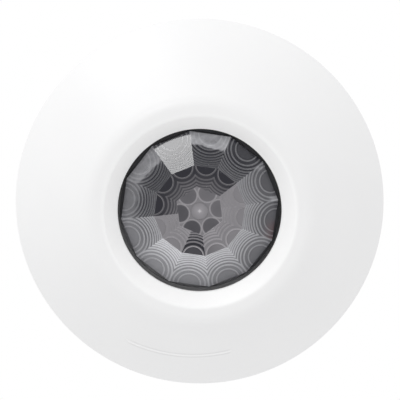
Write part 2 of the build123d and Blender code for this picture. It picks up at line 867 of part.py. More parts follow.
def make_header(low):
    body = block(centred(header_place[0], pin_pitch * pin_count), centred(header_place[1], header_width),
                 (low, low + header_height))
    return body - pin_holes(low - 1, low + header_height + 1)


# Terminal block

def pole_places():
    return [pole_pitch * (k - (pole_count - 1) / 2) for k in range(pole_count)]


def block_cutout():
    half = block_half_width + seat_gap
    depth = (block_back - seat_gap, block_front + seat_gap)
    return block((-half, half), depth, (shelf_height - 1, shelf_top + 1))


def make_terminal_block():
    width = (-block_half_width, block_half_width)
    body = block(width, (block_back, block_front), (power_board_top, block_top))
    for x in pole_places():
        width = cage_width + 2 * cage_clearance
        depth = (block_place - cage_depth / 2 - cage_clearance, block_front + 1)
        body -= block(centred(x, width), depth, (cage_low - cage_clearance, cage_top + cage_clearance))
        body -= Pos(x, block_place, 0) * disc(terminal_head_radius + cage_clearance, cage_top, block_top + 1)
        body -= Pos(x, block_place, 0) * disc(terminal_pin_radius + screw_fit, power_board_top - 1, cage_low)
    return body


def make_terminal_cages():
    cages = []
    for x in pole_places():
        cage = block(centred(x, cage_width), centred(block_place, cage_depth), (cage_low, cage_top))
        middle = cage_low + wire_hole_radius + cage_floor
        cage -= rod_along_y(wire_hole_radius, x, middle, block_place - cage_depth, block_place + cage_depth)
        cage -= Pos(x, block_place, 0) * disc(terminal_screw_radius + screw_fit, middle, cage_top + 1)
        cages.append(cage)
    return solids_of(cages)


def make_terminal_screws():
    size = (terminal_head_radius, terminal_head_height, terminal_screw_radius)
    tip = cage_low + 2 * wire_hole_radius + cage_floor
    screw = make_screw(size, terminal_seat, tip)
    return solids_of([Pos(x, block_place, 0) * screw for x in pole_places()])


def make_terminal_pins():
    pin = disc(terminal_pin_radius, power_board_bottom - pin_overrun, cage_low)
    return solids_of([Pos(x, block_place, 0) * pin for x in pole_places()])


# Cable clamp

def make_cable_clamp():
    length, width, height = clamp_size
    bar = block(centred(0, length), centred(clamp_place, width), (clamp_bottom, clamp_top))
    bar = fillet(bar.edges().filter_by(Axis.Z), clamp_round)
    for way in (-1, 1):
        hole = disc(clamp_screw[2] + through_fit, clamp_bottom - 1, clamp_top + 1)
        bar -= Pos(way * clamp_screw_pitch / 2, clamp_place, 0) * hole
    return bar


def make_clamp_screws():
    screw = make_screw(clamp_screw, clamp_top, shelf_top - clamp_bite + pilot_spare)
    return solids_of([Pos(way * clamp_screw_pitch / 2, clamp_place, 0) * screw for way in (-1, 1)])


# Ceiling clips, drawn for the +X side

def make_clip():
    low = clip_pin_height - clip_barrel_radius
    tip = clip_pin_x + clip_length
    inside = clip_half_width - clip_lobe_width
    arm = block((clip_pin_x, tip), (-clip_half_width, clip_half_width), (low, low + clip_thickness))
    arm += block((tip - clip_thickness, tip), (-clip_half_width, clip_half_width), (low - clip_foot, low))
    shoulder = clip_pin_x + clip_length / 3
    half_tip = clip_tip_width / 2
    plan = make_face(Polyline([
        (clip_pin_x, -clip_half_width),
        (shoulder, -clip_half_width),
        (tip, -half_tip),
        (tip, half_tip),
        (shoulder, clip_half_width),
        (clip_pin_x, clip_half_width),
    ], close=True))
    for y in (-half_tip, half_tip):
        plan = fillet(plan.vertices().sort_by_distance(Vector(tip, y))[0], clip_tip_round)
    arm &= Pos(0, 0, low - clip_foot) * extrude(plan, clip_foot + clip_thickness)
    arm += rod_along_x(clip_bead_radius, 0, low + clip_thickness, shoulder, tip - clip_foot)
    coil_room = coil_radius + coil_wire_radius + coil_clearance
    arm -= rod_along_y(coil_room, clip_pin_x, clip_pin_height, -inside, inside)
    for way in (-1, 1):
        ends = sorted((way * inside, way * clip_half_width))
        arm += rod_along_y(clip_barrel_radius, clip_pin_x, clip_pin_height, *ends)
    return arm - rod_along_y(clip_pin_radius + running_fit, clip_pin_x, clip_pin_height, -clip_half_width - 1,
                             clip_half_width + 1)


def coil_point(angle):
    """Point and direction of the coil's centre line, round the clip's pin and along Y."""
    y = coil_pitch * (angle / (2 * math.pi) - coil_turns / 2)
    x = clip_pin_x - coil_radius * math.cos(angle)
    point = Vector(x, y, clip_pin_height + coil_radius * math.sin(angle))
    heading = Vector(coil_radius * math.sin(angle), coil_pitch / (2 * math.pi), coil_radius * math.cos(angle))
    return point, heading.normalized()


def biarc(start, start_heading, end, end_heading):
    """Two arcs that join two points of the coil along its direction at each."""
    chord = end - start
    both = start_heading + end_heading
    turn = 2 * (1 - start_heading.dot(end_heading))
    along = chord.dot(both)
    reach = (math.sqrt(along ** 2 + turn * chord.dot(chord)) - along) / turn
    joint = (start + end + (start_heading - end_heading) * reach) / 2
    return [TangentArc(start, joint, tangent=start_heading), TangentArc(end, joint, tangent=end_heading * -1)]


def make_clip_spring():
    last = 2 * math.pi * coil_turns + math.radians(coil_end_turn)
    steps = 4 * coil_turns + 1
    angles = [last * k / steps for k in range(steps + 1)]
    path = []
    for start, end in zip(angles, angles[1:]):
        path += biarc(*coil_point(start), *coil_point(end))
    start, heading = coil_point(0)
    path.append(Line(start, start - heading * coil_inner_leg))
    end, end_heading = coil_point(last)
    path.append(Line(end, end + end_heading * coil_outer_leg))
    wire = Wire(Curve(path).edges())
    first = start - heading * coil_inner_leg
    section = Plane(origin=first, z_dir=heading) * Circle(coil_wire_radius)
    print_coil_gap(last)
    return sweep(section, path=wire)


def print_coil_gap(last):
    """Least gap between one turn and the next, measured on points of the centre line."""
    count = 60 * coil_turns
    points = [coil_point(last * k / count)[0] for k in range(count + 1)]
    half_turn = 30
    pairs = [(a, b) for i, a in enumerate(points) for b in points[i + half_turn:]]
    least = min((a - b).length for a, b in pairs)
    print("clip spring, least gap between turns", round(least - 2 * coil_wire_radius, 3))


def make_clip_pin():
    half = pocket_half_width + pocket_wall
    return rod_along_y(clip_pin_radius, clip_pin_x, clip_pin_height, -half, half)


def make_all():
    parts = {
        "cover_ring": make_cover_ring(),
        "fresnel_lens": make_lens(),
        "lens_retainer": make_lens_retainer(),
        "retainer_screws": make_retainer_screws(),
        "inner_cover": make_inner_cover(),
        "inner_cover_screws": make_inner_cover_screws(),
        "sensor_board": make_sensor_board(),
        "sensor_board_screws": make_sensor_board_screws(),
        "pyro_base": make_pyro_base(),
        "pyro_can": make_pyro_can(),
        "pyro_window": make_pyro_window(),
        "indicator_led": make_indicator_led(),
        "light_sensor": make_light_sensor(),
        "controller_chip": chip(controller_size, controller_angle),
        "amplifier_chip": chip(amplifier_size, amplifier_angle),
        "chip_resistors": make_chips(resistor_size, resistor_first_angle, resistor_count, resistor_spacing),
        "chip_capacitors": make_chips(capacitor_size, capacitor_first_angle, capacitor_count,
                                      capacitor_spacing),
        "time_trimmer": make_trimmer(knob_angles[0]),
        "time_knob": make_knob(knob_angles[0]),
        "light_trimmer": make_trimmer(knob_angles[1]),
        "light_knob": make_knob(knob_angles[1]),
        "housing": make_housing(),
        "mounting_flange": make_mounting_flange(),
        "wiring_tray": make_wiring_tray(),
        "ceiling_gasket": make_gasket(),
        "terminal_cover": make_terminal_cover(),
        "lid_hinge_pin": make_hinge_pin(),
        "power_board": make_power_board(),
        "power_board_screws": make_power_board_screws(),
        "relay": make_relay(),
        "dropper_capacitor": make_dropper_capacitor(),
        "filter_capacitor": hanging_can(filter_place, filter_radius, filter_height),
        "supply_capacitor": hanging_can(supply_place, supply_radius, supply_height),
        "varistor": make_varistor(),
        "bridge_rectifier": hanging_box(bridge_place, bridge_size),
        "choke": make_choke(),
        "fuse_resistor": make_fuse_resistor(),
        "link_pins": make_link_pins(),
        "link_header": make_header(power_board_bottom - header_height),
        "link_base": make_header(board_back),
        "terminal_block": make_terminal_block(),
        "terminal_cages": make_terminal_cages(),
        "terminal_screws": make_terminal_screws(),
        "terminal_pins": make_terminal_pins(),
        "cable_clamp": make_cable_clamp(),
        "clamp_screws": make_clamp_screws(),
    }
    clip_pieces = {"clip": make_clip(), "clip_spring": make_clip_spring(), "clip_pin": make_clip_pin()}
    for name, shape in clip_pieces.items():
        parts["right_" + name] = shape
        parts["left_" + name] = mirror(shape, Plane.YZ)
    return parts


os.makedirs("parts", exist_ok=True)
for name, shape in make_all().items():
    export_step(shape, f"parts/{name}.step")
    print(name, len(shape.solids()))
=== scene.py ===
import json
import math
import bmesh
import bpy
import numpy as np
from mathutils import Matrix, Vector


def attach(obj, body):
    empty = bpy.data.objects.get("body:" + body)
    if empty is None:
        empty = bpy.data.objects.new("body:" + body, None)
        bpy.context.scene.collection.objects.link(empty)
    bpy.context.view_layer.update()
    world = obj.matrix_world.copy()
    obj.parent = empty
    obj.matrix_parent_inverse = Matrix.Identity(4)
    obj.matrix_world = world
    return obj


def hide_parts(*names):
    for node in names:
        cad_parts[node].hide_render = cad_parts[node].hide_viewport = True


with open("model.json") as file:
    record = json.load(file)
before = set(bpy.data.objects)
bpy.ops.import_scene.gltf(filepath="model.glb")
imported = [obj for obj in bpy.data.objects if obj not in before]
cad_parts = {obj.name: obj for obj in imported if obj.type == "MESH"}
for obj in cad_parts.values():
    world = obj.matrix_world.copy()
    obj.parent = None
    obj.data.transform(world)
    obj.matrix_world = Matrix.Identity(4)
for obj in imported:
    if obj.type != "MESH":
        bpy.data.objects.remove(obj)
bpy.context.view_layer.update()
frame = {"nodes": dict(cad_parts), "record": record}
nodes = frame["nodes"]
scene = bpy.context.scene
mm = 0.001
print("stage: frame loaded,", len(nodes), "nodes")


# Camera, from below and a little to the front, as the photograph was taken
camera = {
    "azimuth": -0.25,      # degrees
    "elevation": -82.81,   # degrees, below the horizon
    "distance": 400.0,     # mm from the rim's plane
    "aim": (0.1, -1.18, -2.0),
    "viewWidth": 117.4,    # mm across the picture at the rim's plane
}


# The camera stands at aim + distance * back, where back = (sin a cos e, -cos a cos e, sin e) for its azimuth
# a and elevation e. Its lens is the sensor's width * distance / view width.
def makeCamera(look):
    turn = math.radians(look["azimuth"])
    tilt = math.radians(look["elevation"])
    back = Vector((math.sin(turn) * math.cos(tilt), -math.cos(turn) * math.cos(tilt), math.sin(tilt)))
    data = bpy.data.cameras.new("camera")
    data.lens = data.sensor_width * look["distance"] / look["viewWidth"]
    data.clip_start = 0.01
    data.clip_end = 50
    eye = bpy.data.objects.new("camera", data)
    scene.collection.objects.link(eye)
    eye.rotation_mode = "QUATERNION"
    eye.location = (Vector(look["aim"]) + back * look["distance"]) * mm
    eye.rotation_quaternion = (-back).to_track_quat("-Z", "Y")
    scene.camera = eye


makeCamera(camera)
print("stage: camera")


# Faces of a grid of points, row * columns + column: each of its two ways is open or closed.
def gridFaces(rows, columns, closedRows, closedColumns):
    r = np.arange(rows if closedRows else rows - 1)
    c = np.arange(columns if closedColumns else columns - 1)
    r, c = np.meshgrid(r, c, indexing="ij")
    nextR = (r + 1) % rows
    nextC = (c + 1) % columns
    corners = [r * columns + c, r * columns + nextC, nextR * columns + nextC, nextR * columns + c]
    return np.stack(corners, axis=-1).reshape(-1, 4)


# One mesh object from several closed shells, each a pair of its points in mm and its arrays of faces. A
# face's numbers are its shell's own plus the count of points in the shells before. Faces are turned outwards.
def makePiece(name, shells, sharpAngle):
    points = np.concatenate([shell[0] for shell in shells]) * mm
    starts = np.cumsum([0] + [len(shell[0]) for shell in shells])
    faces = []
    for (_, faceArrays), start in zip(shells, starts):
        for faceArray in faceArrays:
            faces += (faceArray + start).tolist()
    mesh = bpy.data.meshes.new(name)
    mesh.from_pydata(points.tolist(), [], faces)
    work = bmesh.new()
    work.from_mesh(mesh)
    bmesh.ops.recalc_face_normals(work, faces=work.faces)
    work.to_mesh(mesh)
    work.free()
    mesh.shade_smooth()
    mesh.set_sharp_from_angle(angle=math.radians(sharpAngle))
    piece = bpy.data.objects.new(name, mesh)
    scene.collection.objects.link(piece)
    return piece


# Points on an arc in the (r, z) plane: centre + radius * (cos a, sin a), for a from start to end.
def arcPoints(centre, radius, start, end, count):
    a = np.linspace(start, end, count)
    return np.column_stack([centre[0] + radius * np.cos(a), centre[1] + radius * np.sin(a)])


# Angle of a vector in the (r, z) plane, from the r axis.
def angleOf(vector):
    return math.atan2(vector[1], vector[0])


# Cover ring: sizes in mm, as in the solid, but for three things that the photograph shows: the crest's flat
# land with a round on each side, the mouth a little nearer to the camera, and the moulded line's rounded
# ridge, radius and lean
coverRing = {
    "rimRadius": 54.0,
    "rimHeight": 2.2,
    "rimRound": 0.6,
    "slopeBulge": 1.2,
    "apertureRadius": 23.2,
    "apertureDepth": 17.2,
    "apertureRound": 0.3,
    "slopeFoot": (29.4, -22.2),
    "crestDepth": 21.04,
    "funnelRound": 1.6,
    "crestRound": 6.5,
    "wall": 2.0,
    "lipTop": -16.2,
    "lipWidth": 1.0,
    "collarTop": -13.1,
    "support": 0.4,              # from a corner or round to the next point on its straight wall
    "lineRadius": 43.1,
    "lineMiddle": 97.4,          # degrees from +X, where the line is at its radius
    "lineLean": 2.3,             # mm outwards a radian past the middle
    "lineHalfWidth": 0.35,
    "lineRise": 0.2,
    "lineSpan": (77.0, 119.0),   # degrees from +X
    "lineFade": 0.8,             # degrees over which each end comes up
    "lineKnob": (5.0, 6.5),      # degrees from each end, between which it narrows
    "lineNarrow": 0.75,          # share of its width and rise between the ends
    "lineWide": 1.25,            # and at the ends
    "lineReach": 2.0,            # mm of the slope, each way from the line, with fine steps
    "lineSteps": 37,
    "slopeSteps": 56,
    "insideSteps": 24,
    "turnSteps": 480,
    "ribAngles": (45, 135, 225, 315),
    "ribWidth": 2.4,
    "ribRadius": 39.456,
    "ribSpan": (-9.0, -3.5),
    "ribBite": 0.4,
}


# Centre and radius of the slope's arc. It bulges by b over its chord c, so its radius is
# (c * c / 4 + b * b) / (2 * b).
def slopeArc(ring):
    crest = np.array(ring["slopeFoot"])
    rim = np.array([ring["rimRadius"], -ring["rimHeight"]])
    chord = rim - crest
    length = np.linalg.norm(chord)
    bulge = ring["slopeBulge"]
    radius = (length ** 2 / 4 + bulge ** 2) / (2 * bulge)
    outward = np.array([chord[1], -chord[0]]) / length
    return (crest + rim) / 2 - outward * (radius - bulge), radius


# The ring's closed section: lip of the aperture, funnel at 45 degrees, flat crest, slope and rim, then back
# inside, one wall in. Each rounded corner is an arc that touches both its neighbours. The crest's outer round
# touches its land and, from inside, the slope's circle. Gives the points and, for the slope, how far outside
# the moulded line's radius each one is, and the direction out of the surface there.
def ringSection(ring):
    centre, radius = slopeArc(ring)
    wall = ring["wall"]
    mouth = np.array([ring["apertureRadius"], -ring["apertureDepth"]])
    mouthRound = ring["apertureRound"]
    mouthCentre = np.array([mouth[0] + mouthRound, mouth[1] + mouthRound * (math.sqrt(2) - 1)])
    land = -ring["crestDepth"]
    cornerX = mouth[0] + mouth[1] - land
    funnelRound = ring["funnelRound"]
    funnelCentre = np.array([cornerX + funnelRound * math.tan(math.pi / 8), land + funnelRound])
    crestRound = ring["crestRound"]
    crestZ = land + crestRound
    crestX = centre[0] + math.sqrt((radius - crestRound) ** 2 - (crestZ - centre[1]) ** 2)
    crestCentre = np.array([crestX, crestZ])
    rimRound = ring["rimRound"]
    rimX = ring["rimRadius"] - rimRound
    rimCentre = np.array([rimX, centre[1] - math.sqrt((radius - rimRound) ** 2 - (rimX - centre[0]) ** 2)])
    slopeFrom = angleOf(crestCentre - centre)
    slopeTo = angleOf(rimCentre - centre)
    lineAngle = -math.acos((ring["lineRadius"] - centre[0]) / radius)
    near = lineAngle + np.linspace(-ring["lineReach"], ring["lineReach"], ring["lineSteps"]) / radius
    slopeAngles = np.linspace(slopeFrom, slopeTo, ring["slopeSteps"])
    slopeAngles = slopeAngles[(slopeAngles < near[0]) | (slopeAngles > near[-1])]
    slopeAngles = np.sort(np.concatenate([slopeAngles, near]))
    slopeOutward = np.column_stack([np.cos(slopeAngles), np.sin(slopeAngles)])
    slope = centre + radius * slopeOutward
    intoFunnel = -0.75 * math.pi
    down = -0.5 * math.pi
    support = ring["support"]
    collar = mouth[0] + ring["lipWidth"]
    lip = [[collar, ring["collarTop"]], [collar, ring["lipTop"]], [mouth[0], ring["lipTop"]]]
    outer = [
        np.array(lip + [[mouth[0], mouthCentre[1] + support]]),
        arcPoints(mouthCentre, mouthRound, -math.pi, intoFunnel, 6),
        arcPoints(funnelCentre, funnelRound, intoFunnel, down, 14),
        np.column_stack([np.linspace(funnelCentre[0], crestX, 8)[1:-1], np.full(6, land)]),
        arcPoints(crestCentre, crestRound, down, slopeFrom, 22),
        slope[1:],
        arcPoints(rimCentre, rimRound, slopeTo, 0, 9)[1:],
        np.array([[ring["rimRadius"], -support], [ring["rimRadius"], 0.0]]),
    ]
    insideRim = ring["rimRadius"] - wall
    insideTo = -math.acos((insideRim - centre[0]) / (radius - wall))
    funnelInside = mouth[0] + wall
    inner = [
        np.array([[insideRim, 0.0]]),
        arcPoints(centre, radius - wall, insideTo, slopeFrom, ring["insideSteps"]),
        arcPoints(crestCentre, crestRound - wall, slopeFrom, down, 12)[1:],
        np.array([
            [cornerX + wall * math.tan(math.pi / 8), land + wall],
            [funnelInside, mouth[1] + wall * (math.sqrt(2) - 1)],
            [funnelInside, ring["collarTop"]],
        ]),
    ]
    points = np.concatenate(outer + inner)
    first = sum(len(part) for part in outer[:5])
    onSlope = slice(first, first + len(slope) - 1)
    offLine = np.full(len(points), 1e3)   # far from the line, off the slope
    offLine[onSlope] = slope[1:, 0] - ring["lineRadius"]
    outward = np.zeros_like(points)
    outward[onSlope] = slopeOutward[1:]
    return points, offLine, outward


# Smooth step of values, t*t*(3 - 2*t), from 0 at low to 1 at high.
def fade(values, low, high):
    t = np.clip((values - low) / (high - low), 0, 1)
    return t * t * (3 - 2 * t)


# The section turned round Z: (r cos t, r sin t, z). The moulded line lifts the slope by a rounded ridge,
# which is rise * (1 - (d/w)^2)^2 at the distance d from its middle. It fades out at both its ends, where it
# is wider.
def makeRingShell(ring):
    section, offLine, outward = ringSection(ring)
    turn = np.linspace(0, 2 * math.pi, ring["turnSteps"], endpoint=False)
    degrees = np.degrees(turn)
    low, high = ring["lineSpan"]
    up = ring["lineFade"]
    window = fade(degrees, low, low + up) * (1 - fade(degrees, high - up, high))
    near, far = ring["lineKnob"]
    ends = 1 - fade(degrees, low + near, low + far) * (1 - fade(degrees, high - far, high - near))
    fullness = ring["lineNarrow"] + (ring["lineWide"] - ring["lineNarrow"]) * ends
    width = ring["lineHalfWidth"] * fullness
    lean = ring["lineLean"] * (turn - math.radians(ring["lineMiddle"]))
    share = np.clip(1 - ((offLine[:, None] - lean[None, :]) / width[None, :]) ** 2, 0, 1) ** 2
    lift = ring["lineRise"] * share * (window * fullness)[None, :]
    r = section[:, 0:1] + outward[:, 0:1] * lift
    z = section[:, 1:2] + outward[:, 1:2] * lift
    points = np.stack([r * np.cos(turn), r * np.sin(turn), z + 0 * turn], axis=-1).reshape(-1, 3)
    return points, [gridFaces(len(section), len(turn), True, True)]


# A guide rib: a flat outline in (r, z), carried half its width to each side. Its outer side follows the wall
# that it grows from, r = centre + sqrt(R^2 - (z - centre)^2), and bites a little into it.
def makeRib(ring, angle):
    centre, radius = slopeArc(ring)
    low, high = ring["ribSpan"]
    heights = np.linspace(low, high, 8)
    wallRadius = centre[0] + np.sqrt((radius - ring["wall"]) ** 2 - (heights - centre[1]) ** 2)
    outline = np.column_stack([wallRadius + ring["ribBite"], heights])
    outline = np.concatenate([outline, [[ring["ribRadius"], high], [ring["ribRadius"], low]]])
    turn = math.radians(angle)
    outwards = np.array([math.cos(turn), math.sin(turn), 0])
    sideways = np.array([-math.sin(turn), math.cos(turn), 0])
    flat = outline[:, 0:1] * outwards + outline[:, 1:2] * np.array([0, 0, 1])
    half = ring["ribWidth"] / 2
    points = np.concatenate([flat - sideways * half, flat + sideways * half])
    count = len(outline)
    return points, [gridFaces(2, count, False, True), np.arange(2 * count).reshape(2, count)]


ringShells = [makeRingShell(coverRing)] + [makeRib(coverRing, angle) for angle in coverRing["ribAngles"]]
coverPiece = makePiece("coverRing", ringShells, 35)
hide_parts("cover_ring")
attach(coverPiece, "cover")
print("stage: cover ring")


# Clip springs: sizes in mm, as in the solid
clipSpring = {
    "pinX": 28.6,
    "pinZ": 7.5,
    "coilRadius": 1.75,
    "wireRadius": 0.4,
    "pitch": 1.25,
    "turns": 5,
    "endTurn": 115.0,
    "innerLeg": 2.0,
    "outerLeg": 3.2,
    "tipRadius": 0.004,
    "turnSteps": 36,
    "endSteps": 12,
    "domeSteps": 5,
    "roundSteps": 14,
}


# The wire's centre line is a helix round the pin, (x - R cos a, pitch * a / 2 pi, z + R sin a), with a
# straight leg along its direction at each end. A circle is carried along it, square to it, and drawn in to a
# dome at both tips.
def makeSpring(spring, side):
    radius = spring["coilRadius"]
    rise = spring["pitch"] / (2 * math.pi)
    last = 2 * math.pi * spring["turns"] + math.radians(spring["endTurn"])
    angle = np.linspace(0, last, spring["turnSteps"] * spring["turns"] + spring["endSteps"])
    middle = spring["turns"] * math.pi

    def helix(a):   # points, from the pin
        return np.column_stack([-radius * np.cos(a), rise * (a - middle), radius * np.sin(a)])

    def heading(a):   # the helix's derivative, made a unit long
        direction = np.column_stack([radius * np.sin(a), rise + 0 * a, radius * np.cos(a)])
        return direction / np.linalg.norm(direction, axis=1, keepdims=True)

    tip = spring["wireRadius"]
    domeTurn = np.linspace(0, math.pi / 2, spring["domeSteps"])
    dome = tip * (1 - np.cos(domeTurn))
    domeRadius = tip * np.sin(domeTurn)
    before = np.concatenate([dome, np.linspace(tip, spring["innerLeg"], 6)[1:-1]])
    outerLeg = spring["outerLeg"]
    after = np.concatenate([np.linspace(0, outerLeg - tip, 8)[1:], outerLeg - dome[::-1][1:]])
    firstHeading = heading(angle[:1])
    lastHeading = heading(angle[-1:])
    line = np.concatenate([
        helix(angle[:1]) + firstHeading * (before - spring["innerLeg"])[:, None],
        helix(angle),
        helix(angle[-1:]) + lastHeading * after[:, None],
    ])
    directions = np.concatenate([
        np.repeat(firstHeading, len(before), axis=0),
        heading(angle),
        np.repeat(lastHeading, len(after), axis=0),
    ])
    size = np.full(len(line), tip)
    size[:len(dome)] = domeRadius
    size[-len(dome):] = domeRadius[::-1]
    size = np.maximum(size, spring["tipRadius"])
    across = line * np.array([1, 0, 1])
    across -= directions * np.sum(across * directions, axis=1, keepdims=True)
    across /= np.linalg.norm(across, axis=1, keepdims=True)
    other = np.cross(directions, across)
    steps = spring["roundSteps"]
    around = np.linspace(0, 2 * math.pi, steps, endpoint=False)
    cosine = np.cos(around)[None, :, None]
    sine = np.sin(around)[None, :, None]
    circle = across[:, None] * cosine + other[:, None] * sine
    pin = np.array([spring["pinX"], 0, spring["pinZ"]])
    points = (line[:, None] + circle * size[:, None, None] + pin).reshape(-1, 3)
    points[:, 0] *= side
    caps = np.arange(len(points)).reshape(-1, steps)[[0, -1]]
    return points, [gridFaces(len(line), steps, False, True), caps]


springPieces = []
for name, side in (("right", 1), ("left", -1)):
    piece = makePiece(name + "Spring", [makeSpring(clipSpring, side)], 60)
    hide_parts(name + "_clip_spring")
    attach(piece, name + "_clip_arm")
    springPieces.append(piece)
print("stage: springs")


# Foam gasket: a soft ring pressed into its groove
gasket = {
    "inner": 36.906,
    "outer": 41.306,
    "low": -1.0,
    "high": 0.0,
    "cornerRound": 0.32,
    "edgeWaver": 0.05,
    "crown": 0.06,
    "crownDepth": 0.2,             # from the top, within which the section follows the crown
    "waves": (3, 7, 11, 17, 29),   # slow waves round the ring
    "waveTurn": 1.7,               # radians
    "cornerSteps": 6,
    "sideSteps": 8,
    "turnSteps": 720,
}


# A rounded oblong turned round Z, (r cos t, r sin t, z). Its two edges wander inwards by a sum of slow waves,
# sin(k * (t + waveTurn)) / (3 * sqrt(k)), and its top falls away towards them with the square of the distance
# from its middle.
def makeGasket(foam):
    c = foam["cornerRound"]
    corners = [
        ((foam["outer"] - c, foam["low"] + c), -math.pi / 2),
        ((foam["outer"] - c, foam["high"] - c), 0.0),
        ((foam["inner"] + c, foam["high"] - c), math.pi / 2),
        ((foam["inner"] + c, foam["low"] + c), math.pi),
    ]
    sides = []
    for (centre, start), (following, _) in zip(corners, corners[1:] + corners[:1]):
        arc = arcPoints(centre, c, start, start + math.pi / 2, foam["cornerSteps"])
        nextStart = arcPoints(following, c, start + math.pi / 2, start + math.pi / 2, 1)
        between = np.linspace(0, 1, foam["sideSteps"])[1:-1, None]
        sides += [arc, arc[-1] + (nextStart - arc[-1]) * between]
    section = np.concatenate(sides)
    turn = np.linspace(0, 2 * math.pi, foam["turnSteps"], endpoint=False)
    waver = sum(np.sin(k * turn + foam["waveTurn"] * k) / k ** 0.5 for k in foam["waves"]) / 3
    middle = (foam["inner"] + foam["outer"]) / 2
    share = (section[:, 0:1] - middle) / (foam["outer"] - middle)
    r = section[:, 0:1] - share * foam["edgeWaver"] * (1 + waver)[None, :]
    top = section[:, 1:2] > foam["high"] - foam["crownDepth"]
    z = section[:, 1:2] - top * foam["crown"] * (1 + waver)[None, :] * share ** 2
    points = np.stack([r * np.cos(turn), r * np.sin(turn), z], axis=-1).reshape(-1, 3)
    return points, [gridFaces(len(section), len(turn), True, True)]


gasketPiece = makePiece("foamGasket", [makeGasket(gasket)], 80)
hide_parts("ceiling_gasket")
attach(gasketPiece, "base")
print("stage: gasket")


# Wraps a shader socket, so that sums and products of values are written as they are in Python
class Flow:
    def __init__(self, tree, socket=None):
        self.tree = tree
        self.socket = socket

    # A node of the type kind: its settings first, then its inputs, by name or number, as values or flows.
    def node(self, kind, settings, inputs, output=0):
        made = self.tree.nodes.new(kind)
        for key, value in settings.items():
            setattr(made, key, value)
        for key, value in inputs.items():
            if isinstance(value, Flow):
                self.tree.links.new(value.socket, made.inputs[key])
            else:
                made.inputs[key].default_value = value
        return Flow(self.tree, made.outputs[output])

    def math(self, operation, first, second=0.0):
        return self.node("ShaderNodeMath", {"operation": operation}, {0: first, 1: second})

    def __add__(self, other):
        return self.math("ADD", self, other)

    def __radd__(self, other):
        return self.math("ADD", other, self)

    def __sub__(self, other):
        return self.math("SUBTRACT", self, other)

    def __rsub__(self, other):
        return self.math("SUBTRACT", other, self)

    def __mul__(self, other):
        return self.math("MULTIPLY", self, other)

    def __rmul__(self, other):
        return self.math("MULTIPLY", other, self)

    def __truediv__(self, other):
        return self.math("DIVIDE", self, other)

    def __rtruediv__(self, other):
        return self.math("DIVIDE", other, self)


# Smooth step of a value, from start at low to end at high.
def smooth(flow, value, low, high, start=0.0, end=1.0):
    settings = {"interpolation_type": "SMOOTHSTEP"}
    return flow.node("ShaderNodeMapRange", settings, {0: value, 1: low, 2: high, 3: start, 4: end})


# Mix of two colours: first * (1 - factor) + second * factor.
def blend(flow, factor, first, second):
    return flow.node("ShaderNodeMix", {"data_type": "RGBA"}, {0: factor, 6: first, 7: second}, 2)


# Cloudy noise from 0 to 1, with scale clouds a millimetre.
def noise(flow, place, scale, detail=2.0, roughness=0.5):
    inputs = {"Vector": place, "Scale": scale, "Detail": detail, "Roughness": roughness}
    return flow.node("ShaderNodeTexNoise", {}, inputs)


# Distance to the middle of the nearest cell, in cells, with scale cells a millimetre.
def cells(flow, place, scale, feature="F1"):
    inputs = {"Vector": place, "Scale": scale}
    return flow.node("ShaderNodeTexVoronoi", {"feature": feature}, inputs, "Distance")


# The place times one factor for each axis: a pattern is long where its factor is small.
def stretched(flow, place, factors):
    return flow.node("ShaderNodeVectorMath", {"operation": "MULTIPLY"}, {0: place, 1: factors})


# The normal of a surface raised by height * depth, with the depth in mm.
def bump(flow, height, depth):
    return flow.node("ShaderNodeBump", {}, {"Strength": 1.0, "Distance": depth * mm, "Height": height})


# The place's x, y and z, each as a flow.
def axes(flow, place):
    parts = flow.tree.nodes.new("ShaderNodeSeparateXYZ")
    flow.tree.links.new(place.socket, parts.inputs[0])
    return [Flow(flow.tree, parts.outputs[k]) for k in range(3)]


# A solid colour, from its linear parts.
def colour(red, green, blue):
    return (red, green, blue, 1.0)


# A colour times a factor, with no part over 1.
def shade(rgb, factor):
    return colour(*[min(1.0, part * factor) for part in rgb])


# A material: constants go on the shader's own sockets, and paint gives the flows that vary over the surface.
# The place that it gets is in millimetres, in the object's own frame.
def makeFinish(name, constants, paint):
    material = bpy.data.materials.new(name)
    material.use_nodes = True
    tree = material.node_tree
    shader = tree.nodes["Principled BSDF"]
    for key, value in constants.items():
        shader.inputs[key].default_value = value
    flow = Flow(tree)
    place = flow.node("ShaderNodeTexCoord", {}, {}, "Object")
    place = flow.node("ShaderNodeMapping", {}, {"Vector": place, "Scale": (1000, 1000, 1000)})
    for key, value in paint(flow, place).items():
        tree.links.new(value.socket, shader.inputs[key])
    return material


# Moulded plastic: a cloudy tone, a fine spark texture and a few polished patches.
def plastic(look):
    def paint(flow, place):
        cloud = noise(flow, place, look.get("cloudScale", 0.09), 3.0)
        grain = noise(flow, place, look.get("grainScale", 5.0), 3.0)
        rubbed = smooth(flow, noise(flow, place, 0.35, 4.0), 0.5, 0.72)
        dark = shade(look["tone"], 1 - look["spread"])
        pale = shade(look["tone"], 1 + look["spread"])
        tone = blend(flow, cloud, dark, pale)
        rough = look["rough"] + (grain - 0.5) * 0.12 - rubbed * look.get("rub", 0.05)
        return {"Base Color": tone, "Roughness": rough, "Normal": bump(flow, grain, look["grainDepth"])}
    return paint


# Metal: fine lines drawn out along one way, dull and bright patches, and a few darker specks.
def metal(look):
    def paint(flow, place):
        drawn = noise(flow, stretched(flow, place, look["lines"]), 1.0, 4.0, 0.6)
        patches = noise(flow, place, 0.5, 3.0)
        specks = smooth(flow, cells(flow, place, 1.1), 0.0, 0.12, 1.0, 0.0)
        tone = blend(flow, drawn, shade(look["tone"], 0.86), shade(look["tone"], 1.12))
        tone = blend(flow, specks * look.get("specks", 0.3), tone, shade(look["tone"], 0.45))
        rough = look["rough"] + (patches - 0.5) * 0.22 + (drawn - 0.5) * 0.12
        return {"Base Color": tone, "Roughness": rough, "Normal": bump(flow, drawn, look["lineDepth"])}
    return paint


